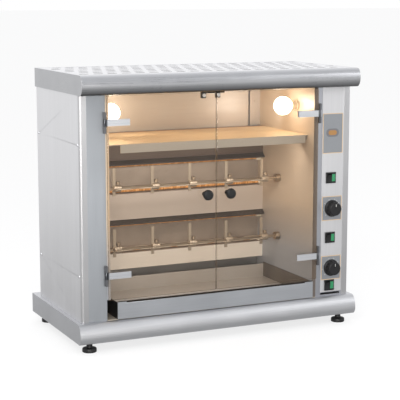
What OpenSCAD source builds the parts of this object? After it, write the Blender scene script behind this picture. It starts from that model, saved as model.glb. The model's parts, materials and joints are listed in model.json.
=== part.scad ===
// Countertop rotisserie oven: two motor-driven spits behind a pair of glass doors, a warming
// shelf above them, a slide-out drip tray below, and a control column on the right.
// X runs to the right, Y runs to the back, Z runs up. The origin is on the table, in the
// middle of the outer box. Sizes are in millimetres.

/* [Overall size] */
// Width of the plinth, the widest part
base_w = 866; // [856:1:880]
// Depth from the nose of the cap to the back of the plinth
overall_d = 450; // [446:1:460]
// Height from the table to the top of the cap
overall_h = 760; // [756:1:780]
// Width of the body between its outer side faces
body_w = 841; // [838:1:846]
// Width of the cap
cap_w = 850; // [848:1:856]
// Height of the levelling feet
foot_h = 28; // [26:1:34]
// Height of the plinth
base_h = 56; // [52:1:60]
// Height of the cap
cap_h = 54; // [50:1:60]
// Thickness of the outer sheets
sheet = 1.5; // [1.2:0.1:2]

/* [Doors] */
// Thickness of the door glass
glass_t = 5; // [4:0.5:5]
// Height of the lower edge of the doors
door_low = 142; // [141:1:150]
// Gap between the two doors
door_gap = 2.5; // [2:0.5:4]
// Diameter of the round door knobs
door_knob_d = 30; // [24:1:34]
// Height of the door knobs
door_knob_z = 418; // [300:1:500]

/* [Spits] */
// Height of the upper spit
upper_spit_z = 415; // [413:1:418]
// Distance from the upper spit down to the lower one
spit_pitch = 180; // [178:1:182]
// Distance from one fork to the next
fork_pitch = 120; // [100:1:122]
// Reach of each fork's blade above the spit
fork_reach = 60; // [45:1:64]
// Side of the square spit bar
spit_side = 8; // [7:0.5:9]

/* [Controls] */
// Diameter of the control knobs
knob_d = 49; // [40:1:54]
// Depth of the control knobs
knob_depth = 25; // [20:1:28]
// Side of the square rocker switches
switch_side = 32; // [30:1:34]

/* [Drip tray] */
// Height of the tray's front
tray_h = 48; // [44:1:53]
// Width of the tray
tray_w = 615; // [600:1:616]

/* [Hidden] */
$fn = 48;

// Colours
steel = [0.80, 0.81, 0.83];
steel_dark = [0.63, 0.65, 0.68];
steel_warm = [0.74, 0.70, 0.62];
brown_steel = [0.46, 0.40, 0.35];
black = [0.06, 0.06, 0.065];
green = [0.18, 0.50, 0.33];
amber = [0.75, 0.42, 0.20];
ceramic = [0.93, 0.91, 0.86];
tinted = [0.75, 0.66, 0.55, 0.35];
grey_print = [0.56, 0.58, 0.60];

// Levels of the main blocks
base_top = foot_h + base_h;
cap_low = overall_h - cap_h;
back_end = overall_d / 2;
front_end = -overall_d / 2;
body_x = body_w / 2;
body_front = front_end + 45;
body_back = 183;
bend_r = 8;

// Plinth: a flat top and a rolled nose in front
base_x = base_w / 2;
base_sheet = 2;
base_nose_y = front_end + 40;
base_nose_d = 23;
base_nose_z = base_top - 37;
base_nose_low_r = 23;
base_nose_low_angle = 235.6;

// Cap: flat sides and back, and a half-round nose in front
cap_x = cap_w / 2;
cap_sheet = 2;
cap_nose_d = 18;
cap_nose_y = front_end + cap_nose_d;
cap_back = body_back;
cap_rim_x = 400;
cap_rim_front = -176;
cap_rim_back = 165;

// Air slots in the back panel: two groups behind the cavity and one behind the motors
air_slot_w = 115;
air_slot_h = 5;
air_slot_pitch = 15;
upper_slots_x = 250;
upper_slots_low = 560;
motor_slots_x = 335;
motor_slots_low = 190;

// Vent panel in the cap's top
vent_x = 415;
vent_front = -185;
vent_back = 168;
slot_len = 28;
slot_w = 12;
slot_cols = 20;
slot_rows = 6;

// Front opening and the corner strips that the side panels wrap round the front
strip_w = 22;
seam_x = body_x - strip_w;
open_left = -345;
open_right = 311;
door_mid = (open_left + open_right) / 2;
return_d = 30;

// Cavity walls
wall_left = -335;
wall_right = 300;
lower_back = 140;
upper_back = 162;
liner_back = 177;
floor_t = 1.2;
floor_top = base_top + floor_t;
ceiling_low = cap_low - sheet;
back_seam_x = 264;
back_seam_gap = 5;
shelf_top = 564;
shelf_t = 2;
cover_screw_z = 640;
cover_screw_r = 3.5;
cover_screw_h = 1.5;

// Heating zones in the lower back wall, one behind each spit
lower_spit_z = upper_spit_z - spit_pitch;
spit_levels = [upper_spit_z, lower_spit_z];
spit_y = 30;
zone_low = -37;
zone_high = 55;
zone_back = 174;
low_panel_h = 48;
hood_h = 11;
hood_reach = 13;
tube_r = 5;
tube_front_y = 148;
tube_back_y = 160;
tube_low = -27;
tube_high = 47;
holder_w = 15;
holder_h = 14;

// Warming shelf and its rails
shelf_front = -142;
shelf_lip_h = 24;
shelf_lip_left = -287;
shelf_lip_right = 292;
rail_w = 30;
rail_h = 13;

// Lamps on the cavity's side walls
lamp_y = -72;
lamp_z = 645;
lamp_base_r = 17;
lamp_base_len = 20;
bulb_r = 27;
bulb_neck_r = 12;
bulb_centre = 46;

// Doors: they stand just in front of the body and turn on pins beside the opening
glass_low_gap = 4;
door_high = cap_low - glass_low_gap;
door_y = body_front - 5.5;
pin_x = open_left - 3.5;
pin_r = 2;
clip_levels = [210, 630];
clip_len = 66;
clip_h = 18;
clip_t = 1.5;
knuckle_r = 3.2;
bracket_h = 57;
bracket_left = 3.4;
bracket_right = 3.0;
bracket_front = 3.4;
notch_h = clip_h + 0.8;
edge_gap = 5.7;
running = 0.05;
knob_from_edge = 35;
strike_r = 5;
strike_t = 1;
left_catch_x = -53;
right_catch_x = -9;
catch_bar_left = -59;
catch_bar_right = 10;
catch_bar_h = 5;
magnet_w = 12;
magnet_low = cap_low - 20;
strike_z = cap_low - 12;

// Spits
bush_front = 14;
bush_half = 15;
bush_top = 12;
journal_r = 4;
bar_left = wall_left + 2;
bar_square_left = wall_left + 20;
socket_x = 284;
socket_end = 298;
coupling_r = 12;
coupling_shaft_r = 5;
motor_shaft_end = 326;
fork_mid = -2;
hub_r = 10;
hub_len = 20;
blade_w = 9;
blade_t = 3;
blade_drop = 22;
tine_y = 22;
tine_r = 1.8;
tine_len = 42;
screw_r = 3;
screw_head_r = 6;
motor_w = 62;
motor_len = 52;
gearbox_len = 28;

// Control column
panel_left = 326;
panel_low = 97;
intake_h = 6;
panel_front = body_front - sheet;
control_x = 361;
switch_x = 356;
switch_levels = [439, 261, 117];
knob_levels = [348, 170];
cutout = 28;
switch_depth = 30;
bezel_t = 3;
rocker_x = switch_x - 5;
rocker_w = 13.4;
rocker_half = 10.8;
rocker_y = panel_front + 5.5;
rocker_tilt = 8;
rocker_pin_r = 1.5;
rocker_pin_half = 8;
lens_dx = 8;
lens_w = 11;
lens_h = 21;
plate_w = 66;
plate_h = 72;
plate_t = 1;
name_w = 67;
name_low = 511;
name_high = 628;
shaft_r = 3;
shaft_end = panel_front + 16;
regulator_side = 44;
regulator_d = 36;
regulator_nose_r = 5;

// Drip tray
tray_mid = -9;
tray_left = tray_mid - tray_w / 2;
tray_right = tray_mid + tray_w / 2;
tray_low = floor_top + 0.8;
tray_high = base_top + tray_h + 2;
tray_relief = 36;
tray_front_y = body_front - 6;
tray_back_y = 128;

// Fasteners and supply entry
panel_screw_levels = [212, 572];
panel_screw_ys = [-169, 168];
panel_screw_r = 2;
foot_x = base_x - 38;
foot_ys = [-170, 190];
foot_hole_r = 5;
gland_x = 345;
gland_z = 140;
gland_r = 9;
gland_bore = 5;

// A box between two limits on each axis
module block(x, y, z) {
    translate([x[0], y[0], z[0]])
        cube([x[1] - x[0], y[1] - y[0], z[1] - z[0]]);
}

// Round bars along each axis
module rod_x(x, y, z, r) {
    translate([x[0], y, z]) rotate([0, 90, 0]) cylinder(h = x[1] - x[0], r = r);
}

module rod_y(x, y, z, r) {
    translate([x, y[0], z]) rotate([-90, 0, 0]) cylinder(h = y[1] - y[0], r = r);
}

module rod_z(x, y, z, r) {
    translate([x, y, z[0]]) cylinder(h = z[1] - z[0], r = r);
}

// Runs a profile drawn in Y and Z along X
module along_x(x) {
    translate([x[0], 0, 0]) rotate([90, 0, 90]) linear_extrude(x[1] - x[0]) children();
}

// Swaps left and right about the middle of the doors
module door_mirror() {
    translate([2 * door_mid, 0, 0]) mirror([1, 0, 0]) children();
}

// Points of an ellipse's arc
function arc(cy, cz, ry, rz, from, to, steps = 12) =
    [for (i = [0:steps]) let (a = from + (to - from) * i / steps) [cy + ry * cos(a), cz + rz * sin(a)]];

// ---- Plinth and feet ----

function base_outline(inset, low) = concat(
    [[back_end - inset, low], [back_end - inset, base_top - inset]],
    arc(base_nose_y, base_nose_z, base_nose_d - inset, base_top - base_nose_z - inset, 90, 180),
    arc(base_nose_y, base_nose_z, base_nose_d - inset, base_nose_low_r, 180, base_nose_low_angle, 6),
    [[base_nose_y - base_nose_d / 2 - 1.5 + inset, low]]
);

module base_plinth() {
    color(steel) difference() {
        along_x([-base_x, base_x]) polygon(base_outline(0, foot_h));
        along_x([base_sheet - base_x, base_x - base_sheet])
            polygon(base_outline(base_sheet, foot_h - 1));
    }
}

module base_bottom_plate() {
    front = base_nose_y - base_nose_d / 2 + 2;
    air_pitch = 60;
    air_w = 40;
    air_d = 6;
    color(steel_dark) difference() {
        block([base_sheet - base_x, base_x - base_sheet], [front, back_end - base_sheet],
            [foot_h, foot_h + sheet]);
        for (x = [-foot_x, foot_x], y = foot_ys)
            rod_z(x, y, [foot_h - 1, foot_h + sheet + 1], foot_hole_r);
        for (i = [-5:5])
            block([i * air_pitch - air_w / 2, i * air_pitch + air_w / 2], [0, air_d],
                [foot_h - 1, foot_h + sheet + 1]);
    }
}

// A rubber pad moulded on a threaded stem, and the lock nut under the bottom plate
module levelling_feet() {
    pad_r = 20;
    pad_h = 11;
    neck_r = 8;
    neck_top = 20;
    stem_r = 4;
    stem_top = foot_h + 5;
    nut_low = foot_h - 6;
    nut_r = 8;
    color(black) for (x = [-foot_x, foot_x], y = foot_ys) translate([x, y, 0]) {
        rotate_extrude() polygon([
            [0, 0], [pad_r - 1, 0], [pad_r, 1], [pad_r, pad_h - 2], [pad_r - 1.5, pad_h],
            [neck_r + 1, pad_h + 2], [neck_r, neck_top], [stem_r, neck_top], [stem_r, stem_top],
            [0, stem_top]
        ]);
        translate([0, 0, nut_low]) difference() {
            cylinder(h = foot_h - nut_low, r = nut_r, $fn = 6);
            translate([0, 0, -1]) cylinder(h = foot_h, r = stem_r + running);
        }
    }
}

// ---- Outer casing ----

// A side panel seen from above: flat, with its front edge rolled round the corner
module side_outline() {
    inner_r = bend_r - sheet;
    polygon(concat(
        [[-body_x, body_back]],
        arc(bend_r - body_x, body_front + bend_r, bend_r, bend_r, 180, 270),
        [[-seam_x, body_front], [-seam_x, body_front + sheet]],
        arc(bend_r - body_x, body_front + bend_r, inner_r, inner_r, 270, 180),
        [[sheet - body_x, body_back]]
    ));
}

module side_panel() {
    difference() {
        translate([0, 0, base_top]) linear_extrude(cap_low - base_top) side_outline();
        for (y = panel_screw_ys, z = panel_screw_levels)
            rod_x([-body_x - 1, sheet + 1 - body_x], y, z, panel_screw_r + 0.2);
    }
}

module left_side_panel() {
    color(steel) side_panel();
}

module right_side_panel() {
    color(steel) mirror([1, 0, 0]) side_panel();
}

// Round-headed screws that hold the side panels
module panel_screws() {
    head_r = 4;
    head_h = 2;
    thread_len = 8;
    color(steel_dark) for (side = [-1, 1], y = panel_screw_ys, z = panel_screw_levels)
        translate([side * body_x, y, z]) rotate([0, side * 90, 0]) {
            rotate_extrude() polygon([
                [0, 0], [head_r, 0], [head_r - 0.6, head_h * 0.6], [head_r / 2, head_h], [0, head_h]
            ]);
            translate([0, 0, -thread_len]) cylinder(h = thread_len + 0.5, r = panel_screw_r);
        }
}

// Slots in the back panel, one above another
module air_slots(x, low, count) {
    for (i = [0:count - 1])
        block([x - air_slot_w / 2, x + air_slot_w / 2], [body_back - 5, body_back + 5],
            [low + i * air_slot_pitch, low + i * air_slot_pitch + air_slot_h]);
}

module back_panel() {
    color(steel) difference() {
        block([sheet - body_x, body_x - sheet], [body_back - sheet, body_back],
            [base_top, cap_low]);
        rod_y(gland_x, [body_back - 5, body_back + 5], gland_z, gland_r);
        for (side = [-1, 1]) air_slots(side * upper_slots_x, upper_slots_low, 8);
        air_slots(motor_slots_x, motor_slots_low, 6);
    }
}

module left_pillar() {
    color(steel_dark) {
        block([-seam_x, open_left], [body_front, body_front + sheet], [base_top, cap_low]);
        block([open_left - sheet, open_left], [body_front, body_front + return_d],
            [base_top, cap_low]);
    }
}

// Holes for the switches and the regulators' noses
module control_cutouts() {
    for (z = switch_levels)
        block([switch_x - cutout / 2, switch_x + cutout / 2], [panel_front - 5, body_front + 5],
            [z - cutout / 2, z + cutout / 2]);
    for (z = knob_levels)
        rod_y(control_x, [panel_front - 5, body_front + 5], z, regulator_nose_r + 0.3);
}

module right_column() {
    color(steel_dark) difference() {
        union() {
            block([open_right, seam_x], [body_front, body_front + sheet], [base_top, cap_low]);
            block([open_right, open_right + sheet], [body_front, body_front + return_d],
                [base_top, cap_low]);
        }
        control_cutouts();
        block([panel_left + 2, seam_x - 6], [body_front - 5, body_front + 5],
            [panel_low - intake_h - 2, panel_low - 2]);
    }
}

module control_panel() {
    color(steel) difference() {
        block([panel_left, seam_x - 1], [panel_front, body_front], [panel_low, cap_low - 0.5]);
        control_cutouts();
    }
}

module nameplate() {
    color(grey_print) block([panel_left + 1, panel_left + 1 + name_w],
        [panel_front - plate_t, panel_front], [name_low, name_high]);
}

function cap_outline(inset) = concat(
    [[cap_back - inset, cap_low + inset], [cap_back - inset, overall_h - inset]],
    arc(cap_nose_y, (cap_low + overall_h) / 2, cap_nose_d - inset, cap_h / 2 - inset, 90, 270, 24)
);

module top_cap() {
    color(steel) difference() {
        along_x([-cap_x, cap_x]) polygon(cap_outline(0));
        along_x([cap_sheet - cap_x, cap_x - cap_sheet]) polygon(cap_outline(cap_sheet));
        block([-cap_rim_x, cap_rim_x], [cap_rim_front, cap_rim_back],
            [cap_low - 1, cap_low + cap_sheet + 1]);
        block([-vent_x, vent_x], [vent_front, vent_back],
            [overall_h - cap_sheet - 1, overall_h + 1]);
    }
}

// An oblong slot through the vent panel
module vent_slot(x, y) {
    straight = (slot_len - slot_w) / 2;
    low = overall_h - cap_sheet - 1;
    block([x - straight, x + straight], [y - slot_w / 2, y + slot_w / 2], [low, overall_h + 1]);
    for (side = [-1, 1]) rod_z(x + side * straight, y, [low, overall_h + 1], slot_w / 2);
}

module vent_panel() {
    col_pitch = 2 * vent_x / (slot_cols + 0.5);
    row_pitch = (vent_back - vent_front) / slot_rows;
    color(steel) difference() {
        block([-vent_x, vent_x], [vent_front, vent_back], [overall_h - cap_sheet, overall_h]);
        for (row = [0:slot_rows - 1], col = [0:slot_cols - 1])
            vent_slot(-vent_x + (col + 0.5 + (row % 2) / 2) * col_pitch,
                vent_front + (row + 0.5) * row_pitch);
    }
}

// ---- Cavity ----

// Each liner wall turns outwards beside the doors. The left one is cut back beside the tray
module liner_left() {
    color(steel_warm) {
        block([wall_left - sheet, wall_left], [body_front + tray_relief, liner_back],
            [floor_top, ceiling_low]);
        block([wall_left - sheet, wall_left], [body_front, body_front + tray_relief + 1],
            [door_low, ceiling_low]);
        block([open_left, wall_left], [body_front, body_front + sheet], [door_low, ceiling_low]);
    }
}

module liner_right() {
    color(steel_warm) difference() {
        union() {
            block([wall_right, wall_right + sheet], [body_front, liner_back],
                [floor_top, ceiling_low]);
            block([wall_right, open_right], [body_front, body_front + sheet],
                [floor_top, ceiling_low]);
        }
        for (z = spit_levels)
            rod_x([wall_right - 1, wall_right + sheet + 1], spit_y, z, coupling_shaft_r + 1.5);
    }
}

// The ceiling, with a row of outlets for the hot air
module liner_ceiling() {
    outlet_pitch = 40;
    outlet_w = 28;
    outlet_y = [60, 68];
    color(steel_warm) difference() {
        block([open_left, open_right], [body_front, liner_back], [ceiling_low, cap_low]);
        for (i = [-7:7])
            block([door_mid + i * outlet_pitch - outlet_w / 2, door_mid + i * outlet_pitch + outlet_w / 2],
                outlet_y, [ceiling_low - 1, cap_low + 1]);
    }
}

module cavity_floor() {
    color(steel_warm) block([open_left, open_right], [body_front, liner_back],
        [base_top, floor_top]);
}

// One sheet steps back behind the shelf, and a narrow cover closes the corner beside it
module upper_back_wall() {
    step_low = shelf_top - shelf_t;
    seam_left = back_seam_x - back_seam_gap;
    panel_foot = upper_spit_z + zone_high + hood_h;
    color(steel_warm) {
        along_x([wall_left, seam_left]) polygon([
            [lower_back, panel_foot], [lower_back, shelf_top], [upper_back, shelf_top],
            [upper_back, ceiling_low], [upper_back + sheet, ceiling_low],
            [upper_back + sheet, step_low], [lower_back + sheet, step_low],
            [lower_back + sheet, panel_foot]
        ]);
        block([seam_left, wall_right], [lower_back, lower_back + sheet],
            [panel_foot, shelf_top]);
        block([back_seam_x, wall_right], [upper_back, upper_back + sheet],
            [shelf_top, ceiling_low]);
        rod_y((back_seam_x + wall_right) / 2, [upper_back - cover_screw_h, upper_back],
            cover_screw_z, cover_screw_r);
    }
}

// Pale flat sheets below each heating zone
module reflector_panels() {
    color(steel_warm) {
        block([wall_left, wall_right], [lower_back, lower_back + sheet],
            [lower_spit_z + zone_high + hood_h, upper_spit_z + zone_low]);
        block([wall_left, wall_right], [lower_back, lower_back + sheet],
            [lower_spit_z + zone_low - low_panel_h, lower_spit_z + zone_low]);
    }
}

// A shallow trough behind each spit
module heater_boxes() {
    color(brown_steel) for (z = spit_levels) along_x([wall_left, wall_right]) polygon([
        [lower_back, z + zone_low], [zone_back, z + zone_low], [zone_back, z + zone_high],
        [lower_back, z + zone_high], [lower_back, z + zone_high - sheet],
        [zone_back - sheet, z + zone_high - sheet], [zone_back - sheet, z + zone_low + sheet],
        [lower_back, z + zone_low + sheet]
    ]);
}

// A dark lip over each heating zone
module heater_hoods() {
    color(brown_steel) for (z = spit_levels) along_x([wall_left, wall_right]) polygon([
        [lower_back, z + zone_high + hood_h], [lower_back - hood_reach, z + zone_high - 1],
        [lower_back - hood_reach, z + zone_high - 4], [lower_back, z + zone_high]
    ]);
}

module quartz_elements() {
    color(amber) for (z = spit_levels) {
        rod_x([wall_left + 4, wall_right - 4], tube_front_y, z + tube_low, tube_r);
        rod_x([wall_left + 4, wall_right - 4], tube_back_y, z + tube_high, tube_r - 0.5);
    }
}

// Ceramic end blocks that carry the quartz tubes
module element_holder(x, y, z) {
    difference() {
        block([x, x + holder_w], [y - holder_h / 2, y + holder_h / 2],
            [z - tube_r - 2, z + tube_r + 1]);
        rod_x([x - 1, x + holder_w + 1], y, z, tube_r + 0.1);
    }
}

module element_holders() {
    color(ceramic) for (z = spit_levels, x = [wall_left, wall_right - holder_w]) {
        element_holder(x, tube_front_y, z + tube_low);
        element_holder(x, tube_back_y, z + tube_high);
    }
}

module warming_shelf() {
    color(steel_warm) {
        block([wall_left, wall_right], [shelf_front, lower_back],
            [shelf_top - shelf_t, shelf_top]);
        block([shelf_lip_left, shelf_lip_right], [shelf_front, shelf_front + sheet],
            [shelf_top - shelf_lip_h, shelf_top]);
    }
}

// Angle rails on the side walls that the shelf rests on
module shelf_rails() {
    high = shelf_top - shelf_t;
    y = [shelf_front + 4, lower_back];
    color(brown_steel) {
        block([wall_left, wall_left + rail_w], y, [high - sheet, high]);
        block([wall_left, wall_left + sheet], y, [high - rail_h, high]);
        block([wall_right - rail_w, wall_right], y, [high - sheet, high]);
        block([wall_right - sheet, wall_right], y, [high - rail_h, high]);
    }
}

// ---- Lamps ----

module at_each_lamp() {
    translate([wall_left, lamp_y, lamp_z]) rotate([0, 90, 0]) children();
    translate([wall_right, lamp_y, lamp_z]) rotate([0, -90, 0]) children();
}

module lamp_holders() {
    color(ceramic) at_each_lamp() rotate_extrude() polygon([
        [0, 0], [lamp_base_r, 0], [lamp_base_r, 4], [lamp_base_r - 3, 6],
        [lamp_base_r - 4, lamp_base_len], [0, lamp_base_len]
    ]);
}

module lamp_bulbs() {
    neck_angle = acos(bulb_neck_r / bulb_r);
    color([1, 0.95, 0.82]) at_each_lamp() rotate_extrude() polygon(concat(
        [[0, lamp_base_len], [bulb_neck_r, lamp_base_len]],
        arc(0, bulb_centre, bulb_r, bulb_r, -neck_angle, 90, 16)
    ));
}

// ---- Doors ----

module door_glass() {
    knob_x = door_mid - knob_from_edge;
    color(tinted) difference() {
        block([pin_x + edge_gap, door_mid - door_gap / 2],
            [door_y - glass_t / 2, door_y + glass_t / 2], [door_low, door_high]);
        rod_y(knob_x, [door_y - 5, door_y + 5], door_knob_z, 3.2);
    }
}

// Hinge clips grip the glass and turn on the pins; a steel disc meets the magnet
module door_clips(strike_x) {
    y = [door_y - glass_t / 2 - clip_t, door_y + glass_t / 2 + clip_t];
    glass_y = [door_y - glass_t / 2, door_y + glass_t / 2];
    color(steel) {
        for (level = clip_levels) {
            z = [level - clip_h / 2, level + clip_h / 2];
            difference() {
                union() {
                    block([pin_x + 2.6, pin_x + edge_gap + clip_len], y, z);
                    rod_z(pin_x, door_y, z, knuckle_r);
                    block([pin_x, pin_x + 4], [door_y - 1.5, door_y + 1.5], z);
                }
                block([pin_x + edge_gap, pin_x + edge_gap + clip_len + 1], glass_y,
                    [z[0] - 1, z[1] + 1]);
                rod_z(pin_x, door_y, [z[0] - 1, z[1] + 1], pin_r + running);
            }
        }
        rod_y(strike_x, [glass_y[1], glass_y[1] + strike_t], strike_z, strike_r);
    }
}

module door_knob() {
    front = door_y - glass_t / 2;
    behind = door_y + glass_t / 2;
    r = door_knob_d / 2;
    color(black) translate([door_mid - knob_from_edge, front, door_knob_z]) {
        rotate([90, 0, 0]) rotate_extrude() polygon([
            [0, 0], [8, 0], [7, 8], [r - 3, 13], [r, 18], [r - 1, 24], [r - 5, 28], [0, 29]
        ]);
        rotate([-90, 0, 0]) cylinder(h = glass_t + 0.5, r = 2.9);
        translate([0, behind - front, 0]) rotate([-90, 0, 0]) cylinder(h = 2, r = 7);
    }
}

module left_door_glass() { door_glass(); }
module left_door_clips() { door_clips(left_catch_x); }
module left_door_knob() { door_knob(); }
module right_door_glass() { door_mirror() door_glass(); }
module right_door_clips() { door_mirror() door_clips(2 * door_mid - right_catch_x); }
module right_door_knob() { door_mirror() door_knob(); }

// Steel blocks beside the opening that carry the hinge pins
module hinge_bracket(level) {
    difference() {
        block([pin_x - bracket_left, pin_x + bracket_right], [door_y - bracket_front, body_front],
            [level - bracket_h / 2, level + bracket_h / 2]);
        block([pin_x - 10, pin_x + 10], [door_y - 10, body_front - 1],
            [level - notch_h / 2, level + notch_h / 2]);
        rod_z(pin_x, door_y, [level - bracket_h, level + bracket_h], pin_r);
    }
}

module hinge_brackets() {
    color(steel_dark) for (level = clip_levels) {
        hinge_bracket(level);
        door_mirror() hinge_bracket(level);
    }
}

module hinge_pins() {
    half = bracket_h / 2 - 2;
    color(steel_dark) for (level = clip_levels) {
        rod_z(pin_x, door_y, [level - half, level + half], pin_r - 0.01);
        door_mirror() rod_z(pin_x, door_y, [level - half, level + half], pin_r - 0.01);
    }
}

// Two magnets on one bar under the ceiling's front edge
module door_magnets() {
    y = [door_y + glass_t / 2 + 1.5, body_front + 10];
    color(black) {
        block([catch_bar_left, catch_bar_right], y, [ceiling_low - catch_bar_h, ceiling_low]);
        for (x = [left_catch_x, right_catch_x])
            block([x - magnet_w / 2, x + magnet_w / 2], y, [magnet_low, ceiling_low]);
    }
}

// ---- Spits ----

// Square bar with a round journal on the left and a collar beside the bush
module spit_bar(z) {
    half = spit_side / 2;
    color(steel) {
        rod_x([bar_left, bar_square_left], spit_y, z, journal_r - 0.1);
        rod_x([wall_left + bush_front + 1, wall_left + bush_front + 5], spit_y, z, 8);
        block([bar_square_left - 1, socket_end - 1], [spit_y - half, spit_y + half],
            [z - half, z + half]);
    }
}

// One fork: a hub that slides on the bar, an upright blade, a crosspiece and two tines.
// The tines point to the right, to the left, or both ways.
module fork(x, z, to_left, to_right) {
    reach_left = to_left ? tine_len : 0;
    reach_right = to_right ? tine_len : 0;
    hole = spit_side / 2 + 0.1;
    translate([x, spit_y, z]) {
        difference() {
            union() {
                rod_x([-2, hub_len], 0, 0, hub_r);
                block([-blade_w / 2, blade_w / 2], [-blade_t / 2, blade_t / 2],
                    [-blade_drop, fork_reach]);
                block([-2, 4], [-tine_y - 3, tine_y + 3], [-blade_t / 2, blade_t / 2]);
                for (side = [-1, 1]) {
                    rod_x([-reach_left - 1, reach_right + 1], side * tine_y, 0, tine_r);
                    tine_tip(reach_right, side, 1);
                    tine_tip(reach_left, side, -1);
                }
            }
            block([-20, 40], [-hole, hole], [-hole, hole]);
            rod_z(hub_len * 0.6, 0, [0, 20], screw_r + running);
        }
    }
}

// Pointed end of a tine
module tine_tip(reach, side, way) {
    if (reach > 0) translate([way * (reach + 1), side * tine_y, 0]) rotate([0, way * 90, 0])
        cylinder(h = 8, r1 = tine_r, r2 = 0.3);
}

function fork_x(i) = fork_mid + (i - 2) * fork_pitch;

module spit_forks(z) {
    color(steel) for (i = [0:4]) fork(fork_x(i), z, i > 0, i < 4);
}

module thumb_screws(z) {
    color(steel_dark) for (i = [0:4]) translate([fork_x(i) + hub_len * 0.6, spit_y, z]) {
        translate([0, 0, spit_side / 2 + 0.1]) cylinder(h = 9, r = screw_r);
        translate([0, 0, hub_r + 2]) cylinder(h = 8, r = screw_head_r);
    }
}

// Socket that turns the spit; its round shaft runs into the gear motor
module drive_coupling(z) {
    hole = spit_side / 2 + 0.15;
    color(steel_dark) difference() {
        union() {
            rod_x([socket_x, socket_end], spit_y, z, coupling_r);
            rod_x([socket_end - 1, motor_shaft_end], spit_y, z, coupling_shaft_r);
        }
        block([socket_x - 1, socket_end], [spit_y - hole, spit_y + hole], [z - hole, z + hole]);
    }
}

module upper_spit_bar() { spit_bar(upper_spit_z); }
module upper_spit_forks() { spit_forks(upper_spit_z); }
module upper_thumb_screws() { thumb_screws(upper_spit_z); }
module upper_drive_coupling() { drive_coupling(upper_spit_z); }
module lower_spit_bar() { spit_bar(lower_spit_z); }
module lower_spit_forks() { spit_forks(lower_spit_z); }
module lower_thumb_screws() { thumb_screws(lower_spit_z); }
module lower_drive_coupling() { drive_coupling(lower_spit_z); }

// Notched blocks on the left wall: the spit lifts out of them
module spit_bushes() {
    color(steel_dark) for (z = spit_levels) difference() {
        block([wall_left, wall_left + bush_front], [spit_y - bush_half, spit_y + bush_half],
            [z - bush_half - 1, z + bush_top]);
        rod_x([wall_left - 1, wall_left + bush_front + 1], spit_y, z, journal_r);
        block([wall_left - 1, wall_left + bush_front + 1], [spit_y - journal_r, spit_y + journal_r],
            [z, z + bush_top + 1]);
    }
}

// Gear motors behind the right wall
module gear_motors() {
    left = wall_right + sheet;
    color(steel_dark) for (z = spit_levels) difference() {
        union() {
            block([left, left + gearbox_len], [spit_y - motor_w / 2, spit_y + motor_w / 2],
                [z - motor_w / 2, z + motor_w / 2]);
            rod_x([left + gearbox_len, left + motor_len], spit_y, z, motor_w / 2 - 4);
        }
        rod_x([left - 1, motor_shaft_end + 1], spit_y, z, coupling_shaft_r + running);
    }
}

// ---- Controls ----

module switch_housings() {
    half = switch_side / 2;
    front = panel_front - bezel_t;
    well_w = rocker_w + 0.6;
    well_half = rocker_half + 1.8;
    color(black) for (z = switch_levels) difference() {
        union() {
            block([switch_x - half, switch_x + half], [front, panel_front], [z - half, z + half]);
            block([switch_x - cutout / 2 + 0.1, switch_x + cutout / 2 - 0.1],
                [panel_front - 1, panel_front + switch_depth],
                [z - cutout / 2 + 0.1, z + cutout / 2 - 0.1]);
        }
        block([rocker_x - well_w / 2, rocker_x + well_w / 2], [front - 1, rocker_y + 8],
            [z - well_half, z + well_half]);
        rod_x([rocker_x - rocker_pin_half - 0.3, rocker_x + rocker_pin_half + 0.3], rocker_y, z,
            rocker_pin_r + running);
        block([switch_x + lens_dx - lens_w / 2, switch_x + lens_dx + lens_w / 2],
            [front - 1, panel_front + 2], [z - lens_h / 2, z + lens_h / 2]);
    }
}

module switch_lenses() {
    color(green) for (z = switch_levels)
        block([switch_x + lens_dx - lens_w / 2, switch_x + lens_dx + lens_w / 2],
            [panel_front - bezel_t - 0.8, panel_front + 2], [z - lens_h / 2, z + lens_h / 2]);
}

// Rocker in its off position: the upper end stands proud
module rocker(z) {
    dished = -9;
    raised = -10.5;
    color(black) translate([rocker_x, rocker_y, z]) rotate([rocker_tilt, 0, 0]) {
        along_x([-rocker_w / 2, rocker_w / 2]) polygon([
            [raised, -rocker_half], [dished, 0], [raised, rocker_half], [0, rocker_half - 1],
            [5, 4], [5, -4], [0, 1 - rocker_half]
        ]);
        rod_x([-rocker_pin_half, rocker_pin_half], 0, 0, rocker_pin_r);
    }
}

module rocker_top() { rocker(switch_levels[0]); }
module rocker_middle() { rocker(switch_levels[1]); }
module rocker_bottom() { rocker(switch_levels[2]); }

module knob_plates() {
    color(grey_print) for (z = knob_levels) difference() {
        block([control_x - plate_w / 2, control_x + plate_w / 2],
            [panel_front - plate_t, panel_front], [z - plate_h / 2, z + plate_h / 2]);
        rod_y(control_x, [panel_front - 5, panel_front + 5], z, regulator_nose_r + 0.3);
    }
}

// Energy regulators behind the column; each nose passes through the panel
module regulators() {
    back = body_front + sheet;
    color(black) for (z = knob_levels) difference() {
        union() {
            block([control_x - regulator_side / 2, control_x + regulator_side / 2],
                [back, back + regulator_d],
                [z - regulator_side / 2, z + regulator_side / 2]);
            rod_y(control_x, [panel_front, back + 1], z, regulator_nose_r);
        }
        rod_y(control_x, [panel_front - 5, shaft_end + 1], z, shaft_r + running);
    }
}

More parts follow.
